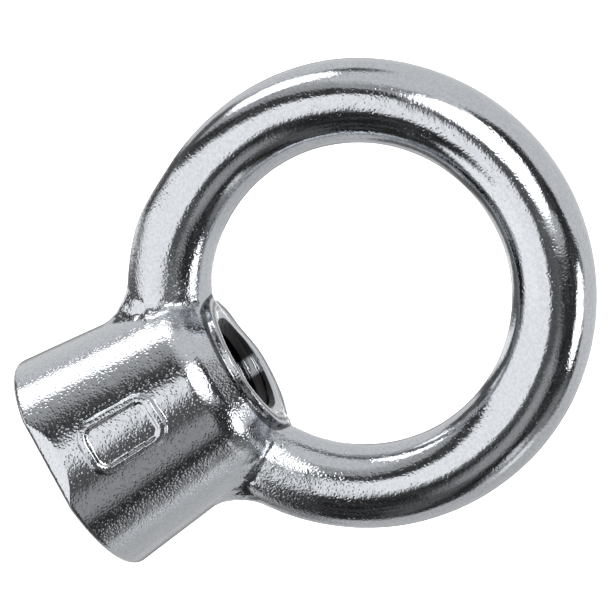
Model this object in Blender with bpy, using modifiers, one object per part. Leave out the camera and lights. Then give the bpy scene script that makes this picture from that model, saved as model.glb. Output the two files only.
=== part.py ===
"""Eye nut: a ring of round bar standing on a short tapered barrel with a metric thread through it.

Frame: the thread's axis is Z and the ring lies in the XZ plane. The barrel's flat base is at Z = 0, and
the origin is the centre of that face. All lengths are in metres.
"""

import math

import bmesh
import bpy

MM = 0.001

# Driving dimensions
BAR_RADIUS = 3.5 * MM
RING_RADIUS = 16.0 * MM  # from the ring's centre to the middle of its bar
RING_HEIGHT = 28.1 * MM  # from the base to the ring's centre
BARREL_TOP_RADIUS = 8.15 * MM
BARREL_TOP_HEIGHT = 14.7 * MM
BARREL_TAPER = math.radians(6.5)  # draft of the barrel's side
LIP_RADIUS = 6.07 * MM
LIP_HEIGHT = 17.3 * MM
THREAD_MAJOR_RADIUS = 4.0 * MM
THREAD_PITCH = 1.25 * MM
SPLIT_ANGLE = math.radians(36.0)  # from straight down, round the ring, to where bar meets horn
GAP = 0.3 * MM  # between touching pieces

# Edges and blends
BASE_ROUNDING = 0.7 * MM
SHOULDER_ROUNDING = 0.7 * MM
SHOULDER_SLOPE = math.radians(45.0)
SHOULDER_TOP_HEIGHT = LIP_HEIGHT - 0.64 * MM
LIP_FOOT = 0.13 * MM  # how far the lip's wall spreads at its foot
HORN_FLARE = 1.2 * MM  # extra bar radius where a horn enters the barrel
HORN_FLARE_SHARE = 0.45  # of a horn's angle, in which the flare grows

# Thread and its two countersinks, with ISO metric proportions
THREAD_MINOR_RADIUS = THREAD_MAJOR_RADIUS - 0.5413 * THREAD_PITCH
ROOT_WIDTH = THREAD_PITCH / 8.0
FLANK_SLOPE = math.tan(math.radians(30.0))
MOUTH_RADIUS = 5.15 * MM
MOUTH_FOOT_RADIUS = 4.32 * MM
MOUTH_DEPTH = 0.43 * MM
LEAD_IN_RADIUS = 4.3 * MM
CUTTER_OVERRUN = 1.0 * MM  # how far a cutter runs past the face it cuts

# Raised blank tablet on the front of the barrel
TABLET_WIDTH = 5.0 * MM
TABLET_LENGTH = 7.0 * MM
TABLET_HEIGHT = 7.0 * MM  # its middle, above the base
TABLET_SIDE = -0.6 * MM  # its middle, along X
TABLET_CORNER = 1.6 * MM
TABLET_RELIEF = 0.3 * MM
TABLET_BORDER = 0.7 * MM
TABLET_SINK = 0.18 * MM  # depth of the field inside the border

# Facets
BARREL_STEPS = 56
BORE_STEPS = 40
ROUNDING_STEPS = 4
THREAD_STEPS = 20
HORN_STEPS = 16
RING_STEPS = 54
BAR_BEVEL_RESOLUTION = 6
CORNER_STEPS = 4
MERGE = 0.01 * MM
SMOOTH_ANGLE = math.radians(35.0)


def clear_scene():
    for item in list(bpy.data.objects):
        bpy.data.objects.remove(item, do_unlink=True)


def new_collection(name):
    collection = bpy.data.collections.new(name)
    bpy.context.scene.collection.children.link(collection)
    return collection


def new_object(name, data, collection):
    item = bpy.data.objects.new(name, data)
    collection.objects.link(item)
    return item


def as_cutter(item):
    item.hide_render = True
    item.display_type = "WIRE"
    return item


def steel(name, colour, roughness):
    material = bpy.data.materials.new(name)
    material.use_nodes = True
    shader = material.node_tree.nodes["Principled BSDF"]
    shader.inputs["Base Color"].default_value = (*colour, 1.0)
    shader.inputs["Metallic"].default_value = 1.0
    shader.inputs["Roughness"].default_value = roughness
    return material


def arc(centre, radius, start, end, steps):
    """Points of an arc in the XZ plane, its angles counted from +X towards +Z."""
    points = []
    for step in range(steps + 1):
        angle = start + (end - start) * step / steps
        points.append((centre[0] + radius * math.cos(angle), centre[1] + radius * math.sin(angle)))
    return points


def side_radius(height):
    """The radius of the barrel's tapered side at a height."""
    return BARREL_TOP_RADIUS + (BARREL_TOP_HEIGHT - height) * math.tan(BARREL_TAPER)


def outline_mesh(name, points, closed):
    """A mesh of edges through points of the XZ plane."""
    mesh = bpy.data.meshes.new(name)
    corners = [(x, 0.0, z) for x, z in points]
    edges = [(index, index + 1) for index in range(len(points) - 1)]
    if closed:
        edges.append((len(points) - 1, 0))
    mesh.from_pydata(corners, edges, [])
    return mesh


def turned(name, points, collection, steps=BARREL_STEPS):
    """A solid of revolution from a profile that starts and ends on the Z axis, top to bottom."""
    item = new_object(name, outline_mesh(name, points, False), collection)
    screw = item.modifiers.new("Turn", "SCREW")
    screw.axis = "Z"
    screw.steps = steps
    screw.render_steps = steps
    screw.use_merge_vertices = True
    screw.merge_threshold = MERGE
    return item


def barrel_profile():
    """The barrel's outside: lip, sloped shoulder, rounded edges and tapered side."""
    profile = [(0.0, LIP_HEIGHT), (LIP_RADIUS, LIP_HEIGHT), (LIP_RADIUS + LIP_FOOT, SHOULDER_TOP_HEIGHT)]
    edge = (BARREL_TOP_RADIUS - SHOULDER_ROUNDING, BARREL_TOP_HEIGHT - SHOULDER_ROUNDING)
    profile += arc(edge, SHOULDER_ROUNDING, SHOULDER_SLOPE, BARREL_TAPER, ROUNDING_STEPS)
    foot_centre = (side_radius(BASE_ROUNDING) - BASE_ROUNDING / math.cos(BARREL_TAPER), BASE_ROUNDING)
    profile += arc(foot_centre, BASE_ROUNDING, BARREL_TAPER, -math.pi / 2.0, ROUNDING_STEPS + 2)
    profile.append((0.0, 0.0))
    return profile


def bore_profile():
    """The hole: a shallow mouth under the lip, the thread's minor bore and a lead-in at the base."""
    mouth_floor = LIP_HEIGHT - MOUTH_DEPTH
    mouth_end = mouth_floor - (MOUTH_FOOT_RADIUS - THREAD_MINOR_RADIUS)
    lead_in = LEAD_IN_RADIUS - THREAD_MINOR_RADIUS
    return [
        (0.0, LIP_HEIGHT + CUTTER_OVERRUN),
        (MOUTH_RADIUS, LIP_HEIGHT + CUTTER_OVERRUN),
        (MOUTH_RADIUS, LIP_HEIGHT),
        (MOUTH_FOOT_RADIUS, mouth_floor),
        (THREAD_MINOR_RADIUS, mouth_end),
        (THREAD_MINOR_RADIUS, lead_in),
        (LEAD_IN_RADIUS, 0.0),
        (LEAD_IN_RADIUS, -CUTTER_OVERRUN),
        (0.0, -CUTTER_OVERRUN),
    ]


def ring_point(angle, radius):
    """A point of the ring's plane, its angle counted from straight down towards +X."""
    return (radius * math.sin(angle), 0.0, RING_HEIGHT - radius * math.cos(angle))


def bar_curve(name, places, collection):
    """A round bar along places of (position, radius), with filled ends."""
    curve = bpy.data.curves.new(name, "CURVE")
    curve.dimensions = "3D"
    curve.bevel_depth = BAR_RADIUS
    curve.bevel_resolution = BAR_BEVEL_RESOLUTION
    curve.use_fill_caps = True
    spline = curve.splines.new("POLY")
    spline.points.add(len(places) - 1)
    for point, (position, radius) in zip(spline.points, places):
        point.co = (*position, 1.0)
        point.radius = radius / BAR_RADIUS
    return new_object(name, curve, collection)


def arc_angles(start, end, steps):
    """Even angles with one more close to each end, so that the end faces stand square to the bar."""
    close = (end - start) / steps / 10.0
    even = [start + (end - start) * step / steps for step in range(1, steps)]
    return [start, start + close, *even, end - close, end]


def curve_to_mesh(item, collection):
    """Turns a bar into a closed mesh object, its end caps welded to its side."""
    graph = bpy.context.evaluated_depsgraph_get()
    mesh = bpy.data.meshes.new_from_object(item.evaluated_get(graph))
    shape = bmesh.new()
    shape.from_mesh(mesh)
    bmesh.ops.remove_doubles(shape, verts=shape.verts, dist=MERGE)
    bmesh.ops.recalc_face_normals(shape, faces=shape.faces)
    shape.to_mesh(mesh)
    shape.free()
    name = item.name
    solid = new_object(name + "_mesh", mesh, collection)
    solid.matrix_world = item.matrix_world
    bpy.data.objects.remove(item, do_unlink=True)
    solid.name = name
    return solid


def horns(collection):
    """The stretch of bar that passes through the barrel and stands out of it as two short horns."""
    inner = RING_RADIUS - BAR_RADIUS
    places = []
    for angle in arc_angles(-SPLIT_ANGLE, SPLIT_ANGLE, HORN_STEPS):
        inward = (1.0 - abs(angle) / SPLIT_ANGLE) / HORN_FLARE_SHARE
        radius = BAR_RADIUS + HORN_FLARE * min(1.0, inward) ** 2
        places.append((ring_point(angle, inner + radius), radius))
    return as_cutter(curve_to_mesh(bar_curve("horn_bar", places, collection), collection))


def thread_groove(collection):
    """The helical groove of the thread, as a closed coil with a flat-topped V for its section."""
    inner = THREAD_MINOR_RADIUS - 0.2 * MM
    half_root = ROOT_WIDTH / 2.0
    half_foot = half_root + (THREAD_MAJOR_RADIUS - inner) * FLANK_SLOPE
    start = -THREAD_PITCH
    section = [
        (inner, start + half_foot),
        (THREAD_MAJOR_RADIUS, start + half_root),
        (THREAD_MAJOR_RADIUS, start - half_root),
        (inner, start - half_foot),
    ]
    turns = math.ceil((LIP_HEIGHT - start) / THREAD_PITCH) + 1
    guide = new_object("groove_guide", outline_mesh("groove_guide", section, True), collection)
    screw = guide.modifiers.new("Coil", "SCREW")
    screw.axis = "Z"
    screw.screw_offset = THREAD_PITCH
    screw.iterations = turns
    screw.steps = THREAD_STEPS
    screw.render_steps = THREAD_STEPS
    graph = bpy.context.evaluated_depsgraph_get()
    mesh = bpy.data.meshes.new_from_object(guide.evaluated_get(graph))
    bpy.data.objects.remove(guide, do_unlink=True)
    shape = bmesh.new()
    shape.from_mesh(mesh)
    open_edges = [edge for edge in shape.edges if edge.is_boundary]
    bmesh.ops.holes_fill(shape, edges=open_edges, sides=0)
    bmesh.ops.recalc_face_normals(shape, faces=shape.faces)
    shape.to_mesh(mesh)
    shape.free()
    return as_cutter(new_object("thread_groove", mesh, collection))


def tablet_prism(name, inset, collection):
    """A block along -Y with the tablet's rounded outline, made smaller all round by an inset."""
    half_x = TABLET_WIDTH / 2.0 - inset
    half_z = TABLET_LENGTH / 2.0 - inset
    corner = TABLET_CORNER - inset
    outline = []
    for quarter, (sign_x, sign_z) in enumerate(((1, 1), (-1, 1), (-1, -1), (1, -1))):
        centre = (TABLET_SIDE + sign_x * (half_x - corner), TABLET_HEIGHT + sign_z * (half_z - corner))
        start = quarter * math.pi / 2.0
        outline += arc(centre, corner, start, start + math.pi / 2.0, CORNER_STEPS)
    shape = bmesh.new()
    back = 5.0 * MM
    front = 12.0 * MM
    face = shape.faces.new([shape.verts.new((x, -back, z)) for x, z in outline])
    pushed = bmesh.ops.extrude_face_region(shape, geom=[face])
    moved = [part for part in pushed["geom"] if isinstance(part, bmesh.types.BMVert)]
    bmesh.ops.translate(shape, verts=moved, vec=(0.0, back - front, 0.0))
    bmesh.ops.recalc_face_normals(shape, faces=shape.faces)
    mesh = bpy.data.meshes.new(name)
    shape.to_mesh(mesh)
    shape.free()
    return as_cutter(new_object(name, mesh, collection))


def side_shell(name, relief, collection):
    """A tapered plug that stands a relief proud of the barrel's side, over the tablet's height."""
    reach = TABLET_LENGTH / 2.0 + CUTTER_OVERRUN / 2.0
    top = TABLET_HEIGHT + reach
    bottom = TABLET_HEIGHT - reach
    profile = [
        (0.0, top),
        (side_radius(top) + relief, top),
        (side_radius(bottom) + relief, bottom),
        (0.0, bottom),
    ]
    return as_cutter(turned(name, profile, collection))


def combine(item, other, operation):
    step = item.modifiers.new(operation.title() + "_" + other.name, "BOOLEAN")
    step.operation = operation
    step.solver = "EXACT"
    step.object = other


def tablet(collection):
    """The raised blank tablet: a curved plate with a border and a slightly sunk field."""
    plate = side_shell("tablet_plate", TABLET_RELIEF, collection)
    combine(plate, tablet_prism("tablet_outline", 0.0, collection), "INTERSECT")
    field = side_shell("tablet_field", TABLET_RELIEF + CUTTER_OVERRUN, collection)
    combine(field, tablet_prism("field_outline", TABLET_BORDER, collection), "INTERSECT")
    combine(field, side_shell("field_floor", TABLET_RELIEF - TABLET_SINK, collection), "DIFFERENCE")
    combine(plate, field, "DIFFERENCE")
    return plate


def settle(item):
    """Applies an object's modifiers, and shades the result smooth between its sharp edges."""
    graph = bpy.context.evaluated_depsgraph_get()
    mesh = bpy.data.meshes.new_from_object(item.evaluated_get(graph))
    item.modifiers.clear()
    item.data = mesh
    mesh.materials.clear()
    mesh.shade_smooth()
    mesh.set_sharp_from_angle(angle=SMOOTH_ANGLE)


def threaded_barrel(parts, cutters):
    barrel = turned("threaded_barrel", barrel_profile(), parts)
    combine(barrel, horns(cutters), "UNION")
    combine(barrel, tablet(cutters), "UNION")
    combine(barrel, as_cutter(turned("bore", bore_profile(), cutters, BORE_STEPS)), "DIFFERENCE")
    combine(barrel, thread_groove(cutters), "DIFFERENCE")
    settle(barrel)
    barrel.data.materials.append(steel("barrel_steel", (0.56, 0.57, 0.58), 0.22))


def eye_ring(parts):
    start = SPLIT_ANGLE + GAP / RING_RADIUS
    places = []
    for angle in arc_angles(start, 2.0 * math.pi - start, RING_STEPS):
        places.append((ring_point(angle, RING_RADIUS), BAR_RADIUS))
    ring = bar_curve("eye_ring", places, parts)
    ring.data.materials.append(steel("ring_steel", (0.58, 0.59, 0.60), 0.2))


def main():
    clear_scene()
    parts = new_collection("eye_nut")
    cutters = new_collection("cutters")
    threaded_barrel(parts, cutters)
    eye_ring(parts)


main()
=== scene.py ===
"""Looks of the eye nut: a polished stainless casting in a white studio.

The two visible pieces are cut from one closed surface, so the ring runs into the barrel without a seam.
The surface is the zero level of a distance field in millimetres, in the frame of the CAD model: the
thread's axis is Z, the ring lies in the XZ plane, and the barrel's base is at Z = 0.
"""

import math

import bmesh
import bpy
import numpy as np
from mathutils import Matrix, Vector


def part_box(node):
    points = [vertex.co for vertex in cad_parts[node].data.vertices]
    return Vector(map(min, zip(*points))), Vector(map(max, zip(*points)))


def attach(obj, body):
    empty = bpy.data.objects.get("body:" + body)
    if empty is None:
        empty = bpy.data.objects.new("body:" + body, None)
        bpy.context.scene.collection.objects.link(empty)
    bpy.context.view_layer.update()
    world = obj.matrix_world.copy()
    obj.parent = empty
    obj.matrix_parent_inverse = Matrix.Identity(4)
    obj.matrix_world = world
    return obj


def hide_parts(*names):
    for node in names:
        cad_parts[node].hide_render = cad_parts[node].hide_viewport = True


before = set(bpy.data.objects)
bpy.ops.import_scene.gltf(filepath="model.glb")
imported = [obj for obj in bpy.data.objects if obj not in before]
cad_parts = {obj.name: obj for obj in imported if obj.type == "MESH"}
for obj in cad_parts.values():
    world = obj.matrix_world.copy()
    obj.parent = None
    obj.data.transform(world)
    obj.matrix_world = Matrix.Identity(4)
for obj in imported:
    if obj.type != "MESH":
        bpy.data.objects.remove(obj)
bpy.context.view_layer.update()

MM = 0.001

# Sizes in millimetres, from the frame
ring_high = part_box("eye_ring")[1] / MM
barrel_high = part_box("threaded_barrel")[1] / MM
BAR_RADIUS = ring_high.y
RING_RADIUS = ring_high.x - BAR_RADIUS
RING_HEIGHT = ring_high.z - ring_high.x
BASE_RADIUS = barrel_high.y

# Barrel, in millimetres
BASE_ROUNDING = 0.7
TAPER = math.radians(6.5)
SHOULDER_ROUNDING = 0.7
SHOULDER_REACH = 22.82  # radius plus height anywhere on the 45 degree shoulder
EDGE_ROUNDING = 0.05

# Flat ground on the front of the base's edge
FACET_TURN = math.radians(-10.0)
FACET_SLOPE = math.radians(24.0)
FACET_HEIGHT = 1.6
FACET_ROUNDING = 0.06
FACET_SHARPENS = 0.3  # how much smaller the base's rounding is at the flat

# Lip round the hole's mouth
LIP_RADIUS = 6.07
LIP_HEIGHT = 17.3
LIP_FOOT_HEIGHT = 16.66
LIP_ROUNDING = 0.12
LIP_GROOVE = 0.07
LIP_GROOVE_RADIUS = 5.6
LIP_GROOVE_WIDTH = 0.13
LIP_WEAR = 0.24  # how much lower the lip is at the back
LIP_WEAR_FROM = -1.5  # in Y
LIP_WEAR_TO = 3.5
LIP_DENT_SIDE = -2.8  # where, in X, the lip is lower still
LIP_DENT_WIDTH = 1.8

# Hole and thread
THREAD_PITCH = 1.25
THREAD_MINOR_RADIUS = 3.323
THREAD_DEPTH = 0.677
THREAD_FLAT = 0.08  # width of the flat crests and roots, as a share of the pitch
THREAD_EASE = 0.75  # keeps the field's slope near 1 on the thread's flanks
MOUTH_RADIUS = 5.15
MOUTH_FOOT_RADIUS = 4.32
MOUTH_DEPTH = 0.36
MOUTH_ROUNDING = 0.08
LEAD_IN_RADIUS = 4.3
HOLE_TOP = 18.2

# Blank tablet on the front of the barrel
TABLET_WIDTH = 5.0
TABLET_LENGTH = 7.0
TABLET_HEIGHT = 7.0
TABLET_SIDE = -0.6
TABLET_CORNER = 1.6
TABLET_RELIEF = 0.3
TABLET_BORDER = 0.7
TABLET_SINK = 0.2
TABLET_SOFTNESS = 0.14  # half the width of its outer edge
TABLET_INNER_SOFTNESS = 0.16  # the same for the edge of its sunk middle

# Blends between ring and barrel: small inside the ring, larger outside it, less so on its front and back
OUTER_BLEND = 2.5
INNER_BLEND = 0.45
BLEND_FROM = 14.0  # from the ring's centre
BLEND_TO = 19.0
SIDE_BLEND_CUT = 0.75
SIDE_CUT_FROM = 1.0  # in Y, to either side
SIDE_CUT_TO = 3.2

# Where one foot of the ring is flatter on its outside, as angles from straight down on the -X side
FLAT_START = 46.0
FLAT_DEEPEST = 64.0
FLAT_END = 122.0
FLAT_DEPTH = 0.22

# Unevenness of the casting, as (height, size, seed)
WAVES = ((0.012, 3.1, 1), (0.006, 1.1, 2))
LUMPS = ((0.10, 1.2, 3), (0.07, 0.6, 4), (0.03, 0.35, 5))
LUMPS_REACH = 1.2  # from the crease between ring and barrel
SHRINK = 0.018  # keeps the waves inside the CAD model's box

SPLIT_ANGLE = math.radians(36.0)  # from straight down, round the ring, to the end of a horn
CELL = 0.18  # edge of the sampling grid
MARGIN = 0.45  # of the grid round the object
SETTLE_STEPS = 4  # in which the points move onto the cast shape
LEAST_STEEPNESS = 0.2  # squared, so that no move grows too large
SLOPE_STEP = 0.02  # half the distance over which the field's slope is measured

# The corners of a grid cell, as steps along X, Y and Z
CORNERS = [np.array([corner & 1, corner >> 1 & 1, corner >> 2 & 1]) for corner in range(8)]
AXES = np.eye(3, dtype=int)


# ---------------------------------------------------------------- distance field

def smooth_step(low, high, value):
    share = np.clip((value - low) / (high - low), 0.0, 1.0)
    return share * share * (3.0 - 2.0 * share)


def bell(value, width):
    return np.exp(-np.square(value / width))


def round_cut(first, second, radius):
    """What is inside both fields, with the edge between them rounded."""
    over_first = np.maximum(first + radius, 0.0)
    over_second = np.maximum(second + radius, 0.0)
    return np.minimum(-radius, np.maximum(first, second)) + np.hypot(over_first, over_second)


def round_join(first, second, radius):
    """What is inside either field, with a fillet between them."""
    under_first = np.maximum(radius - first, 0.0)
    under_second = np.maximum(radius - second, 0.0)
    return np.maximum(radius, np.minimum(first, second)) - np.hypot(under_first, under_second)


def tablet_relief(x, y, z):
    """How far the tablet stands out of the barrel's side."""
    across = np.arctan2(x, -y) * BASE_RADIUS - TABLET_SIDE
    over_x = np.abs(across) - (TABLET_WIDTH / 2.0 - TABLET_CORNER)
    over_z = np.abs(z - TABLET_HEIGHT) - (TABLET_LENGTH / 2.0 - TABLET_CORNER)
    outside = np.hypot(np.maximum(over_x, 0.0), np.maximum(over_z, 0.0))
    edge = outside + np.minimum(np.maximum(over_x, over_z), 0.0) - TABLET_CORNER
    raised = TABLET_RELIEF * smooth_step(TABLET_SOFTNESS, -TABLET_SOFTNESS, edge)
    inner_edge = edge + TABLET_BORDER
    sunk = TABLET_SINK * smooth_step(TABLET_INNER_SOFTNESS, -TABLET_INNER_SOFTNESS, inner_edge)
    return np.where(y < 0.0, raised - sunk, 0.0)


def facet_field(towards_facet, z):
    edge = BASE_RADIUS - (FACET_HEIGHT - BASE_ROUNDING) * math.tan(TAPER)
    return (towards_facet - edge) * math.cos(FACET_SLOPE) - (z - FACET_HEIGHT) * math.sin(FACET_SLOPE)


def lip_field(x, y, z, radius):
    worn = LIP_WEAR * smooth_step(LIP_WEAR_FROM, LIP_WEAR_TO, y)
    worn = worn * (1.0 + bell(x - LIP_DENT_SIDE, LIP_DENT_WIDTH))
    groove = LIP_GROOVE * bell(radius - LIP_GROOVE_RADIUS, LIP_GROOVE_WIDTH)
    lip = round_cut(radius - LIP_RADIUS, z - LIP_HEIGHT + worn + groove, LIP_ROUNDING)
    return np.maximum(lip, LIP_HEIGHT / 2.0 - z)


def barrel_field(x, y, z, radius):
    side = radius - (BASE_RADIUS - (z - BASE_ROUNDING) * math.tan(TAPER)) - tablet_relief(x, y, z)
    shoulder = (radius + z - SHOULDER_REACH) * math.sqrt(0.5)
    solid = round_cut(side * math.cos(TAPER), shoulder, SHOULDER_ROUNDING)
    towards_facet = x * math.sin(FACET_TURN) - y * math.cos(FACET_TURN)
    solid = round_cut(solid, facet_field(towards_facet, z), FACET_ROUNDING)
    base_rounding = BASE_ROUNDING - FACET_SHARPENS * smooth_step(0.0, BASE_RADIUS, towards_facet)
    solid = round_cut(solid, -z, base_rounding)
    solid = round_cut(solid, z - LIP_FOOT_HEIGHT, EDGE_ROUNDING)
    return round_join(solid, lip_field(x, y, z, radius), LIP_ROUNDING)


def ring_field(x, y, z, reach):
    turn = np.degrees(np.arctan2(-x, RING_HEIGHT - z))
    flat = smooth_step(FLAT_START, FLAT_DEEPEST, turn) * (1.0 - smooth_step(FLAT_DEEPEST, FLAT_END, turn))
    flat = flat * FLAT_DEPTH
    return np.hypot(reach - RING_RADIUS + flat, y) - (BAR_RADIUS - flat)


def hole_radius(x, y, z):
    """The radius of the threaded hole, with its mouth and lead-in."""
    turn = np.arctan2(y, x) / (2.0 * math.pi)
    along = (z / THREAD_PITCH - turn) % 1.0
    depth = smooth_step(THREAD_FLAT, 1.0 - THREAD_FLAT, np.abs(2.0 * along - 1.0))
    thread = THREAD_MINOR_RADIUS + THREAD_DEPTH * depth
    floor = LIP_HEIGHT - MOUTH_DEPTH
    slope = (MOUTH_RADIUS - MOUTH_FOOT_RADIUS) / MOUTH_DEPTH
    above = np.minimum(MOUTH_FOOT_RADIUS + (z - floor) * slope, MOUTH_RADIUS + z - LIP_HEIGHT)
    mouth = np.where(z > floor, above, MOUTH_FOOT_RADIUS - (floor - z))
    return np.maximum(np.maximum(thread, mouth), LEAD_IN_RADIUS - z)


def lattice_noise(points, size, seed):
    """Smooth noise from -1 to 1 whose features are about a size across."""
    place = points / size
    cell = np.floor(place)
    share = place - cell
    share = share * share * (3.0 - 2.0 * share)
    cell = cell.astype(np.int64)
    total = np.zeros(len(points))
    for step in CORNERS:
        weight = np.prod(np.where(step == 1, share, 1.0 - share), axis=1)
        # Large odd numbers and shifts turn a grid point and the seed into a number that looks random
        key = ((cell + step) * np.array([73856093, 19349663, 83492791])).sum(axis=1) + seed * 9176263
        key = (key ^ (key >> 13)) * 1274126177 & 0x7FFFFFFF
        key = (key ^ (key >> 15)) * 668265263 & 0x7FFFFFFF
        total += weight * ((key & 0xFFFF) / 32767.5 - 1.0)
    return total


def unevenness(points, octaves):
    return sum(height * lattice_noise(points, size, seed) for height, size, seed in octaves)


def solid_field(points):
    """The smooth shape, and how near a point is to the crease between ring and barrel."""
    x, y, z = points.T
    radius = np.hypot(x, y)
    reach = np.hypot(x, z - RING_HEIGHT)
    ring = ring_field(x, y, z, reach)
    barrel = barrel_field(x, y, z, radius)
    cut = SIDE_BLEND_CUT * smooth_step(SIDE_CUT_FROM, SIDE_CUT_TO, np.abs(y))
    outside = smooth_step(BLEND_FROM, BLEND_TO, reach) * (1.0 - cut)
    solid = round_join(barrel, ring, INNER_BLEND + (OUTER_BLEND - INNER_BLEND) * outside)
    bore = np.minimum((hole_radius(x, y, z) - radius) * THREAD_EASE, HOLE_TOP - z)
    crease = bell(np.maximum(np.abs(ring), np.abs(barrel)), LUMPS_REACH)
    return round_cut(solid, bore, MOUTH_ROUNDING), crease


def cast_field(points):
    """The shape with the waviness of a polished casting, and lumps along the crease."""
    solid, crease = solid_field(points)
    return solid + SHRINK + unevenness(points, WAVES) + crease * unevenness(points, LUMPS)


def slopes(points):
    """The direction in which the cast shape's field grows, and how fast."""
    parts = []
    for axis in np.eye(3) * SLOPE_STEP:
        parts.append((cast_field(points + axis) - cast_field(points - axis)) / (2.0 * SLOPE_STEP))
    return np.stack(parts, axis=1)


# ---------------------------------------------------------------- surface mesh

def sample_grid(low, counts):
    """The smooth field at every grid point, one layer at a time."""
    xs, ys = (low[axis] + CELL * np.arange(counts[axis]) for axis in (0, 1))
    across, along = np.meshgrid(xs, ys, indexing="ij")
    values = np.empty(counts)
    for layer in range(counts[2]):
        height = np.full(across.size, low[2] + CELL * layer)
        points = np.stack([across.ravel(), along.ravel(), height], axis=1)
        values[:, :, layer] = solid_field(points)[0].reshape(across.shape)
    return values


def crossed_cells(inside):
    """The cells that the surface crosses."""
    shape = np.array(inside.shape) - 1
    held = np.zeros(shape, np.int8)
    for step in CORNERS:
        held += inside[tuple(slice(s, s + n) for s, n in zip(step, shape))]
    return np.argwhere((held > 0) & (held < len(CORNERS)))


def cell_points(values, cells):
    """The middle of the places where each cell's edges cross the surface, in grid steps."""
    total = np.zeros((len(cells), 3))
    count = np.zeros(len(cells))
    for first in CORNERS:
        for axis in range(3):
            if first[axis]:
                continue
            second = first + AXES[axis]
            start = values[tuple((cells + first).T)]
            end = values[tuple((cells + second).T)]
            crossed = (start < 0.0) != (end < 0.0)
            share = start[crossed] / (start[crossed] - end[crossed])
            total[crossed] += first + share[:, None] * np.eye(3)[axis]
            count[crossed] += 1.0
    return cells + total / count[:, None]


def surface_net(values, low):
    """One point in each cell that the surface crosses, and a quad round each crossed grid edge."""
    inside = values < 0.0
    cells = crossed_cells(inside)
    number = np.full(np.array(values.shape) - 1, -1, np.int64)
    number[tuple(cells.T)] = np.arange(len(cells))
    quads = []
    for axis in range(3):
        ahead = AXES[axis]
        size = np.array(values.shape) - ahead
        start = inside[tuple(slice(0, n) for n in size)]
        end = inside[tuple(slice(s, s + n) for s, n in zip(ahead, size))]
        edges = np.argwhere(start != end)
        one, two = (AXES[(axis + turn) % 3] for turn in (1, 2))
        ring = np.stack([number[tuple((edges - back).T)] for back in (one + two, two, one * 0, one)], axis=1)
        leaving = start[tuple(edges.T)]
        quads.append(np.where(leaving[:, None], ring, ring[:, ::-1]))
    return low + CELL * cell_points(values, cells), np.concatenate(quads)


def cast_surface():
    """The points and quads of the smooth shape, with the points moved onto the cast shape."""
    low = np.array([-ring_high.x, -BASE_RADIUS, 0.0]) - MARGIN
    high = np.array([ring_high.x, BASE_RADIUS, ring_high.z]) + MARGIN
    counts = np.ceil((high - low) / CELL).astype(int) + 1
    points, quads = surface_net(sample_grid(low, counts), low)
    for _ in range(SETTLE_STEPS):
        slope = slopes(points)
        steepness = np.maximum((slope * slope).sum(axis=1), LEAST_STEEPNESS)
        move = slope * (cast_field(points) / steepness)[:, None]
        points = points - np.clip(move, -CELL / 2.0, CELL / 2.0)
    return points, quads


def tangent(side):
    """The ring's direction, away from the barrel, at the end of the horn on one side."""
    return Vector((side * math.cos(SPLIT_ANGLE), 0.0, math.sin(SPLIT_ANGLE)))


def on_ring(place):
    """Whether a place in metres belongs to the ring and not to the barrel with its horns."""
    from_centre = place / MM - Vector((0.0, 0.0, RING_HEIGHT))
    side = 1.0 if from_centre.x > 0.0 else -1.0
    return from_centre.z > 0.0 or from_centre.dot(tangent(side)) > 0.0


def split_surface(points, quads):
    """The whole surface as a bmesh, with an edge loop across the bar at the end of each horn."""
    mesh = bpy.data.meshes.new("cast_surface")
    mesh.from_pydata((points * MM).tolist(), [], quads.tolist())
    shape = bmesh.new()
    shape.from_mesh(mesh)
    bpy.data.meshes.remove(mesh)
    centre = Vector((0.0, 0.0, RING_HEIGHT * MM))
    for side in (-1.0, 1.0):
        direction = tangent(side)
        near = []
        for vert in shape.verts:
            from_centre = vert.co - centre
            if vert.co.x * side > 0.0 and from_centre.z < 0.0 and abs(from_centre.dot(direction)) < MM:
                near.append(vert)
        edges = {edge for vert in near for edge in vert.link_edges}
        faces = {face for vert in near for face in vert.link_faces}
        bmesh.ops.bisect_plane(
            shape, geom=[*near, *edges, *faces], dist=1e-7, plane_co=centre, plane_no=direction
        )
    return shape


def set_normals(mesh):
    """The field's own normals on the smooth faces, and flat normals on the others."""
    places = np.empty(len(mesh.vertices) * 3)
    mesh.vertices.foreach_get("co", places)
    slope = slopes(places.reshape(-1, 3) / MM)
    normals = slope / np.linalg.norm(slope, axis=1, keepdims=True)
    corners = np.empty(len(mesh.loops), np.int64)
    mesh.loops.foreach_get("vertex_index", corners)
    corner_normals = normals[corners]
    for face in mesh.polygons:
        if not face.use_smooth:
            corner_normals[face.loop_start:face.loop_start + face.loop_total] = face.normal
    mesh.normals_split_custom_set(corner_normals.tolist())


def piece_from(shape, name, keep):
    """The faces that belong to one piece, closed with a flat face at each cut."""
    part = shape.copy()
    loose = [face for face in part.faces if not keep(face.calc_center_median())]
    bmesh.ops.delete(part, geom=loose, context="FACES")
    filled = bmesh.ops.holes_fill(part, edges=[edge for edge in part.edges if edge.is_boundary], sides=0)
    bmesh.ops.recalc_face_normals(part, faces=part.faces)
    caps = set(filled["faces"])
    for face in part.faces:
        face.smooth = face not in caps
    mesh = bpy.data.meshes.new(name)
    part.to_mesh(mesh)
    part.free()
    set_normals(mesh)
    item = bpy.data.objects.new(name, mesh)
    bpy.context.scene.collection.objects.link(item)
    return item


# ---------------------------------------------------------------- shader nodes

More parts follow.
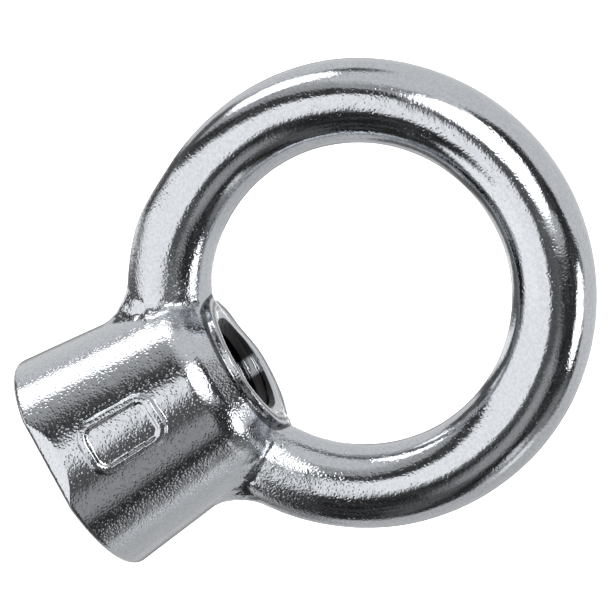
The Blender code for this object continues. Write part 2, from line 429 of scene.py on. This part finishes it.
class Nodes:
    """A short way to add and join shader nodes."""

    def __init__(self, tree):
        self.tree = tree

    def add(self, kind, **values):
        node = self.tree.nodes.new(kind)
        for name, value in values.items():
            setattr(node, name, value)
        return node

    def set(self, socket, value):
        if isinstance(value, bpy.types.NodeSocket):
            self.tree.links.new(value, socket)
        else:
            socket.default_value = value

    def maths(self, operation, first, second=0.0, clamp=False):
        node = self.add("ShaderNodeMath", operation=operation, use_clamp=clamp)
        self.set(node.inputs[0], first)
        self.set(node.inputs[1], second)
        return node.outputs[0]

    def product(self, first, *others):
        for other in others:
            first = self.maths("MULTIPLY", first, other)
        return first

    def vector(self, operation, first, second=(0.0, 0.0, 0.0)):
        node = self.add("ShaderNodeVectorMath", operation=operation)
        self.set(node.inputs[0], first)
        self.set(node.inputs[1], second)
        return node.outputs["Value" if operation in ("DOT_PRODUCT", "LENGTH") else "Vector"]

    def remap(self, value, from_low, from_high, to_low, to_high, kind="LINEAR"):
        node = self.add("ShaderNodeMapRange", interpolation_type=kind)
        for socket, number in zip(node.inputs, (value, from_low, from_high, to_low, to_high)):
            self.set(socket, number)
        return node.outputs["Result"]

    def fade(self, length, start, end, strength=1.0, kind="LINEAR"):
        """From 0 to a strength while a length in metres goes from start to end, in millimetres."""
        return self.remap(length, start * MM, end * MM, 0.0, strength, kind)

    def stripe(self, length, middle, outer, inner, strength=1.0):
        """A strength within inner of a middle that fades to 0 at outer, in millimetres."""
        off = self.maths("ABSOLUTE", self.maths("SUBTRACT", length, middle * MM))
        return self.fade(off, outer, inner, strength)

    def noise(self, place, feature, detail, roughness=0.5):
        """Noise whose features are about this many millimetres across."""
        node = self.add("ShaderNodeTexNoise")
        self.set(node.inputs["Vector"], place)
        node.inputs["Scale"].default_value = 1.0 / (feature * MM)
        node.inputs["Detail"].default_value = detail
        node.inputs["Roughness"].default_value = roughness
        return node.outputs["Fac"]

    def mix_colour(self, share, first, second):
        node = self.add("ShaderNodeMix", data_type="RGBA")
        self.set(node.inputs["Factor"], share)
        self.set(node.inputs["A"], first)
        self.set(node.inputs["B"], second)
        return node.outputs["Result"]


# ---------------------------------------------------------------- material

# Colours
STEEL_DARK = (0.515, 0.535, 0.565, 1.0)
STEEL_LIGHT = (0.575, 0.595, 0.625, 1.0)
# Painted shade, for the bore and the rings on the lip
PAINTED_SHADE = (0.03, 0.03, 0.032, 1.0)

# Relief in millimetres. Values in pairs are those of the ring and of the barrel.
BARREL_FROM = 24.0  # the height over which one finish goes over into the other
BARREL_TO = 16.0
GRAIN_SIZE = 0.26
GRAIN_RANGE = (0.38, 0.60)  # of the noise, from the dark steel to the light
GRAIN_DEPTH = (0.009, 0.011)
FOOT_GRAIN_DEPTH = 0.03
RIPPLE_SIZE = 1.2
RIPPLE_DEPTH = 0.008
PIT_SPACING = 0.24
PIT_REACH = 0.58  # as a share of the spacing
PIT_DEPTH = (0.008, 0.012)
PIT_RARITY = (0.45, -0.05)  # a place has a pit where its random number from 0 to 1 is above this
PIT_RARITY_CHANGE = 0.25  # from blotch to blotch
PIT_CONTRAST = 1.8  # how soon a higher random number gives a full pit
BLOTCH_SIZE = 3.0
BLOTCH_RANGE = (0.35, 0.65)  # of the noise, from the most pits to the fewest
LINE_SIZE = 0.14
LINE_DEPTH = (0.0024, 0.0)
LINE_STRETCH = 0.6  # how far the lines' pattern changes in one radian round the ring

# Roughness
POLISH = (0.10, 0.12)
FOOT_ROUGHNESS = 0.08
BORE_ROUGHNESS = 0.3

# The bore's painted shade and the rough feet, in millimetres: where each starts, and where it is full
BORE_RADII = (4.30, 4.24)
BORE_HEIGHTS = (17.02, 16.96)
PAINTED_REFLECTION_SIDE = 0.6  # X of the painted reflection, a lighter streak in the bore's painted shade
PAINTED_REFLECTION_EDGE = (0.6, 0.9)
SHADE_IN_PAINTED_REFLECTION = 0.35
FOOT_SIDES = (5.0, 6.4)
FOOT_BOTTOM = (12.2, 13.4)
FOOT_TOP = (17.2, 16.0)

# Rings of painted shade on the lip, as (radius, half width where it starts, half width where it is full,
# strength)
PAINTED_SHADE_RINGS = (
    (LIP_GROOVE_RADIUS, 0.24, 0.08, 0.8),
    (LIP_RADIUS + 0.15, 0.20, 0.10, 0.85),
    (MOUTH_RADIUS - 0.05, 0.20, 0.06, 0.7),
)
PAINTED_SHADE_HEIGHT = (17.0, 0.85, 0.70)  # the same for the height of all three


def pits(nodes, place, near_barrel):
    """Pits of a shot-blasted casting: close together on the barrel and sparse on the ring."""
    blotch = nodes.noise(place, BLOTCH_SIZE, 2.0)
    pit = nodes.add("ShaderNodeTexVoronoi")
    nodes.set(pit.inputs["Vector"], place)
    pit.inputs["Scale"].default_value = 1.0 / (PIT_SPACING * MM)
    chance = nodes.add("ShaderNodeSeparateColor")
    nodes.set(chance.inputs[0], pit.outputs["Color"])
    change = nodes.remap(blotch, *BLOTCH_RANGE, -PIT_RARITY_CHANGE, PIT_RARITY_CHANGE)
    rarity = nodes.maths("ADD", nodes.remap(near_barrel, 0.0, 1.0, *PIT_RARITY), change)
    over = nodes.maths("SUBTRACT", chance.outputs[0], rarity)
    chosen = nodes.maths("MULTIPLY", over, PIT_CONTRAST, clamp=True)
    hollow = nodes.remap(pit.outputs["Distance"], PIT_REACH, 0.0, 0.0, 1.0, "SMOOTHSTEP")
    return nodes.product(hollow, chosen)


def bar_lines(nodes, x, y, z):
    """Polishing lines along the ring's bar."""
    above = nodes.maths("SUBTRACT", z, RING_HEIGHT * MM)
    squares = nodes.maths("ADD", nodes.product(x, x), nodes.product(above, above))
    turn = nodes.maths("ARCTAN2", x, above)
    along = nodes.add("ShaderNodeCombineXYZ")
    nodes.set(along.inputs[0], nodes.maths("SQRT", squares))
    nodes.set(along.inputs[1], y)
    nodes.set(along.inputs[2], nodes.product(turn, LINE_STRETCH * MM))
    return nodes.noise(along.outputs[0], LINE_SIZE, 1.0)


def painted_bore_shade(nodes, radius, x, z):
    """Painted shade in the bore below its mouth, lighter along one streak that is a painted reflection."""
    inside = nodes.fade(radius, *BORE_RADII)
    below = nodes.fade(z, *BORE_HEIGHTS)
    off_painted_reflection = nodes.maths("ABSOLUTE", nodes.maths("SUBTRACT", x, PAINTED_REFLECTION_SIDE * MM))
    shade_beside_reflection = nodes.remap(nodes.fade(off_painted_reflection, *PAINTED_REFLECTION_EDGE), 0.0, 1.0, SHADE_IN_PAINTED_REFLECTION, 1.0)
    return nodes.product(inside, below, shade_beside_reflection)


def painted_lip_shade(nodes, radius, z):
    """Painted shade in the groove of the lip, in the crease at its foot and on the edge of the mouth."""
    ring_shade = 0.0
    for ring in PAINTED_SHADE_RINGS:
        ring_shade = nodes.maths("MAXIMUM", ring_shade, nodes.stripe(radius, *ring))
    return nodes.product(ring_shade, nodes.stripe(z, *PAINTED_SHADE_HEIGHT))


def foot_mask(nodes, x, z):
    """Where the ring's feet run into the barrel, and the casting is left rough."""
    aside = nodes.fade(nodes.maths("ABSOLUTE", x), *FOOT_SIDES, kind="SMOOTHSTEP")
    over = nodes.fade(z, *FOOT_BOTTOM, kind="SMOOTHSTEP")
    under = nodes.fade(z, *FOOT_TOP, kind="SMOOTHSTEP")
    return nodes.product(aside, over, under)


def stainless():
    """Polished cast steel, with its relief, painted shade on the lip and in the bore, and a painted
    reflection in the bore.
    """
    material = bpy.data.materials.new("polished_stainless")
    material.use_nodes = True
    nodes = Nodes(material.node_tree)
    shader = material.node_tree.nodes["Principled BSDF"]
    place = nodes.add("ShaderNodeTexCoord").outputs["Object"]
    split = nodes.add("ShaderNodeSeparateXYZ")
    nodes.set(split.inputs[0], place)
    x, y, z = split.outputs
    radius = nodes.vector("LENGTH", nodes.vector("MULTIPLY", place, (1.0, 1.0, 0.0)))
    near_barrel = nodes.fade(z, BARREL_FROM, BARREL_TO, kind="SMOOTHSTEP")
    grain = nodes.noise(place, GRAIN_SIZE, 2.0, 0.6)
    bore = painted_bore_shade(nodes, radius, x, z)
    foot = foot_mask(nodes, x, z)

    colour = nodes.mix_colour(nodes.remap(grain, *GRAIN_RANGE, 0.0, 1.0), STEEL_DARK, STEEL_LIGHT)
    # Painted shade: the bore and the rings on the lip are mixed towards a dark colour
    painted_shade_share = nodes.maths("MAXIMUM", bore, painted_lip_shade(nodes, radius, z))
    nodes.set(shader.inputs["Base Color"], nodes.mix_colour(painted_shade_share, colour, PAINTED_SHADE))
    shader.inputs["Metallic"].default_value = 1.0
    roughness = nodes.remap(near_barrel, 0.0, 1.0, *POLISH)
    roughness = nodes.maths("ADD", roughness, nodes.product(foot, FOOT_ROUGHNESS))
    roughness = nodes.maths("ADD", roughness, nodes.product(bore, BORE_ROUGHNESS))
    nodes.set(shader.inputs["Roughness"], roughness)

    depth = nodes.remap(near_barrel, 0.0, 1.0, *GRAIN_DEPTH)
    depth = nodes.maths("ADD", depth, nodes.product(foot, FOOT_GRAIN_DEPTH))
    pit_depth = nodes.remap(near_barrel, 0.0, 1.0, *PIT_DEPTH)
    line_depth = nodes.remap(near_barrel, 0.0, 1.0, *LINE_DEPTH)
    ripple = nodes.product(nodes.noise(place, RIPPLE_SIZE, 1.0), RIPPLE_DEPTH)
    relief = nodes.maths("ADD", nodes.product(grain, depth), ripple)
    relief = nodes.maths("SUBTRACT", relief, nodes.product(pits(nodes, place, near_barrel), pit_depth))
    relief = nodes.maths("ADD", relief, nodes.product(bar_lines(nodes, x, y, z), line_depth))
    bump = nodes.add("ShaderNodeBump")
    bump.inputs["Strength"].default_value = 1.0
    bump.inputs["Distance"].default_value = MM
    nodes.set(bump.inputs["Height"], relief)
    nodes.set(shader.inputs["Normal"], bump.outputs["Normal"])
    return material


# ---------------------------------------------------------------- studio

# The main camera's place round the object
AZIMUTH = math.radians(-2.15)
ELEVATION = math.radians(11.25)
ROLL = math.radians(59.07)
DISTANCE = 364.2 * MM  # from the ring's centre
LENS = 261.4
SENSOR = 36.0
OFF_CENTRE = (0.0913, 0.0177)  # the ring's centre right of and above the picture's, as shares of its width


def view_axes():
    """The picture's right, its up and the direction back to the camera."""
    back = Vector((
        math.sin(AZIMUTH) * math.cos(ELEVATION),
        -math.cos(AZIMUTH) * math.cos(ELEVATION),
        math.sin(ELEVATION),
    ))
    level = Vector((math.cos(AZIMUTH), math.sin(AZIMUTH), 0.0))
    upright = back.cross(level)
    right = level * math.cos(ROLL) + upright * math.sin(ROLL)
    up = upright * math.cos(ROLL) - level * math.sin(ROLL)
    return right, up, back


def add_camera():
    right, up, back = view_axes()
    data = bpy.data.cameras.new("camera")
    data.lens = LENS
    data.sensor_width = SENSOR
    data.clip_start = 0.01
    data.clip_end = 10.0
    camera = bpy.data.objects.new("camera", data)
    bpy.context.scene.collection.objects.link(camera)
    away = back * (LENS / SENSOR) + right * OFF_CENTRE[0] + up * OFF_CENTRE[1]
    away.normalize()
    across = up.cross(away).normalized()
    turn = Matrix((across, away.cross(across), away)).transposed()
    centre = Vector((0.0, 0.0, RING_HEIGHT * MM))
    camera.matrix_world = Matrix.Translation(centre + back * DISTANCE) @ turn.to_4x4()
    bpy.context.scene.camera = camera


# What stands round the object, seen as a mirror ball shows it to someone at the main camera: x runs to the
# right and y up, from -1 to 1, and what is behind the object is at the ball's rim. Each patch is (name,
# centre, half width and half height, turn in degrees, squareness, softness, brightness), and covers those
# before it.
PATCHES = (
    ("wall_low", (0.25, -1.0), (1.1, 0.45), 0.0, 2.0, 0.80, 0.62),
    ("wall_left", (-1.0, 0.16), (0.13, 0.46), 0.0, 2.0, 0.40, 1.15),
    ("room_side", (0.27, -0.21), (0.39, 0.36), 0.0, 2.2, 0.08, 0.015),
    ("room_point", (0.47, 0.08), (0.21, 0.09), -22.0, 2.0, 0.30, 0.02),
    ("room_peak", (0.28, 0.28), (0.12, 0.14), -12.0, 3.0, 0.30, 0.03),
    ("room_arc", (0.43, 0.205), (0.13, 0.07), -45.0, 2.5, 0.30, 0.02),
    ("room_middle", (-0.01, 0.06), (0.17, 0.27), 0.0, 3.0, 0.30, 0.08),
    ("room_low", (-0.06, -0.52), (0.34, 0.27), 8.0, 3.0, 0.08, 0.015),
    ("room_foot", (-0.36, -0.50), (0.22, 0.13), -28.0, 3.0, 0.30, 0.015),
    ("room_shelf", (-0.02, -0.04), (0.10, 0.08), 0.0, 2.0, 1.0, 0.13),
    ("room_stand", (0.04, -0.58), (0.05, 0.15), -12.0, 2.0, 1.0, 0.10),
    ("edge_low", (0.42, -0.49), (0.17, 0.06), 38.0, 2.0, 0.50, 0.25),
    ("table", (-0.49, -0.015), (0.385, 0.25), -20.0, 7.0, 0.20, 1.28),
    ("table_near", (-0.475, -0.30), (0.13, 0.22), 22.0, 3.0, 0.20, 1.36),
    ("room_edge", (-0.035, 0.04), (0.055, 0.15), -8.0, 3.0, 0.40, 0.09),
    ("flag_near", (-0.21, -0.385), (0.15, 0.09), 10.0, 3.0, 0.30, 0.02),
    ("flag_fade", (-0.32, 0.36), (0.26, 0.08), -22.0, 2.0, 1.0, 0.45),
    ("flag_high", (-0.40, 0.283), (0.36, 0.068), -22.0, 3.0, 0.30, 0.03),
    ("flag_corner", (-0.70, 0.50), (0.19, 0.045), 42.0, 3.0, 0.60, 0.10),
    ("flag_side", (-0.825, 0.20), (0.04, 0.34), -4.0, 3.0, 0.50, 0.08),
    ("flag_foot", (-0.68, -0.30), (0.04, 0.29), 25.0, 3.0, 0.50, 0.05),
    ("band_left", (-0.80, -0.32), (0.055, 0.42), 23.0, 3.0, 0.70, 0.11),
    ("band_low", (-0.42, -0.79), (0.24, 0.03), -24.0, 3.0, 0.70, 0.14),
    ("glow", (0.10, -0.32), (0.075, 0.11), -20.0, 2.0, 1.0, 0.40),
    ("lamp_stand", (-0.10, 0.70), (0.09, 0.03), 0.0, 2.0, 0.8, 0.10),
    ("lamp_left", (0.31, -0.53), (0.04, 0.04), 0.0, 2.0, 0.8, 0.9),
    ("lamp_right", (0.42, -0.60), (0.07, 0.03), 40.0, 2.0, 0.8, 1.2),
    ("soft_box_foot", (0.24, 0.02), (0.15, 0.06), 12.0, 2.0, 0.3, 0.55),
    ("soft_box", (0.125, 0.175), (0.168, 0.165), 0.0, 2.3, 0.08, 3.0),
    ("soft_box_high_frame", (-0.36, 0.585), (0.205, 0.10), 14.0, 2.2, 0.20, 0.35),
    ("soft_box_high", (-0.36, 0.585), (0.185, 0.076), 14.0, 2.4, 0.12, 3.0),
    ("soft_box_side", (0.575, -0.145), (0.07, 0.155), -18.0, 2.4, 0.12, 3.0),
)
BACKDROP = 0.80

# What stands behind the object: the same kind of patches on a disc that looks straight at them, so that the
# main camera sees them only in the last sliver of the object's edges.
BACK_PATCHES = (
    ("back_room", (0.0, 0.0), (0.34, 0.24), -59.0, 2.6, 0.40, 0.28),
    ("back_table", (-0.14, -0.085), (0.24, 0.05), -59.0, 3.0, 0.30, 0.90),
    ("back_soft_box", (0.14, 0.085), (0.20, 0.06), -59.0, 3.0, 0.25, 2.40),
)
CLUTTER = 0.15  # brightness of the things that stand about in the dark parts of the room
CLUTTER_SIZE = 0.07
CLUTTER_RANGE = (0.48, 0.72)  # of the noise, from nothing to the brightest

# A direction's part towards the main camera: above 0 PATCHES light it, and below this BACK_PATCHES do
BEHIND = -0.1

WHITE = (1.0, 1.0, 1.0, 1.0)
FLOOR_HALF = 2.0


def add_patch(nodes, light, across, upward, patch):
    """The light with one more patch on it."""
    _, centre, size, turn, squareness, softness, brightness = patch
    cos = math.cos(math.radians(turn))
    sin = math.sin(math.radians(turn))
    away_x = nodes.maths("SUBTRACT", across, centre[0])
    away_y = nodes.maths("SUBTRACT", upward, centre[1])
    along = nodes.maths("ADD", nodes.product(away_x, cos), nodes.product(away_y, sin))
    aside = nodes.maths("SUBTRACT", nodes.product(away_y, cos), nodes.product(away_x, sin))
    ratios = []
    for distance, half in ((along, size[0]), (aside, size[1])):
        ratio = nodes.maths("ABSOLUTE", nodes.maths("DIVIDE", distance, half))
        ratios.append(nodes.maths("POWER", ratio, squareness))
    reach = nodes.maths("ADD", *ratios)
    cover = nodes.remap(reach, 1.0 - softness, 1.0 + 3.0 * softness, 1.0, 0.0, "SMOOTHSTEP")
    return nodes.remap(cover, 0.0, 1.0, light, brightness)


def studio_light(nodes):
    """How bright the studio is in each direction."""
    right, up, back = (tuple(axis) for axis in view_axes())
    direction = nodes.add("ShaderNodeTexCoord").outputs["Generated"]
    half_way = nodes.vector("NORMALIZE", nodes.vector("ADD", direction, back))
    across = nodes.vector("DOT_PRODUCT", half_way, right)
    upward = nodes.vector("DOT_PRODUCT", half_way, up)
    light = BACKDROP
    for patch in PATCHES:
        light = add_patch(nodes, light, across, upward, patch)
    behind = nodes.remap(nodes.vector("DOT_PRODUCT", direction, back), 0.0, BEHIND, 0.0, 1.0)
    across = nodes.vector("DOT_PRODUCT", direction, right)
    upward = nodes.vector("DOT_PRODUCT", direction, up)
    back_light = light
    for patch in BACK_PATCHES:
        back_light = add_patch(nodes, back_light, across, upward, patch)
    light = nodes.remap(behind, 0.0, 1.0, light, back_light)
    things = nodes.noise(direction, CLUTTER_SIZE / MM, 3.0)
    return nodes.maths("ADD", light, nodes.remap(things, *CLUTTER_RANGE, 0.0, CLUTTER))


def add_world():
    world = bpy.data.worlds.new("studio")
    world.use_nodes = True
    bpy.context.scene.world = world
    tree = world.node_tree
    tree.nodes.clear()
    nodes = Nodes(tree)
    light = studio_light(nodes)
    tint = nodes.add("ShaderNodeCombineColor")
    for socket in tint.inputs[:3]:
        nodes.set(socket, light)
    studio = nodes.add("ShaderNodeBackground")
    nodes.set(studio.inputs["Color"], tint.outputs[0])
    white = nodes.add("ShaderNodeBackground")
    white.inputs["Color"].default_value = WHITE
    mix = nodes.add("ShaderNodeMixShader")
    nodes.set(mix.inputs[0], nodes.add("ShaderNodeLightPath").outputs["Is Camera Ray"])
    nodes.set(mix.inputs[1], studio.outputs[0])
    nodes.set(mix.inputs[2], white.outputs[0])
    output = nodes.add("ShaderNodeOutputWorld")
    nodes.set(output.inputs["Surface"], mix.outputs[0])


def add_floor():
    """A white floor that doesn't show in the steel."""
    mesh = bpy.data.meshes.new("floor")
    corners = [(x * FLOOR_HALF, y * FLOOR_HALF, 0.0) for x, y in ((-1, -1), (1, -1), (1, 1), (-1, 1))]
    mesh.from_pydata(corners, [], [(0, 1, 2, 3)])
    floor = bpy.data.objects.new("floor", mesh)
    bpy.context.scene.collection.objects.link(floor)
    material = bpy.data.materials.new("floor_white")
    material.use_nodes = True
    shader = material.node_tree.nodes["Principled BSDF"]
    shader.inputs["Base Color"].default_value = WHITE
    shader.inputs["Emission Color"].default_value = WHITE
    shader.inputs["Emission Strength"].default_value = 1.0
    mesh.materials.append(material)
    floor.visible_glossy = False
    floor.visible_diffuse = False
    floor.visible_shadow = False


# ---------------------------------------------------------------- assembly

add_camera()
add_world()
add_floor()
bpy.context.scene.view_settings.view_transform = "Standard"

steel = stainless()
surface = split_surface(*cast_surface())
polished_ring = piece_from(surface, "polished_ring", on_ring)
polished_barrel = piece_from(surface, "polished_barrel", lambda place: not on_ring(place))
surface.free()
for piece, node in ((polished_ring, "eye_ring"), (polished_barrel, "threaded_barrel")):
    piece.data.materials.append(steel)
    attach(piece, "root")
    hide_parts(node)
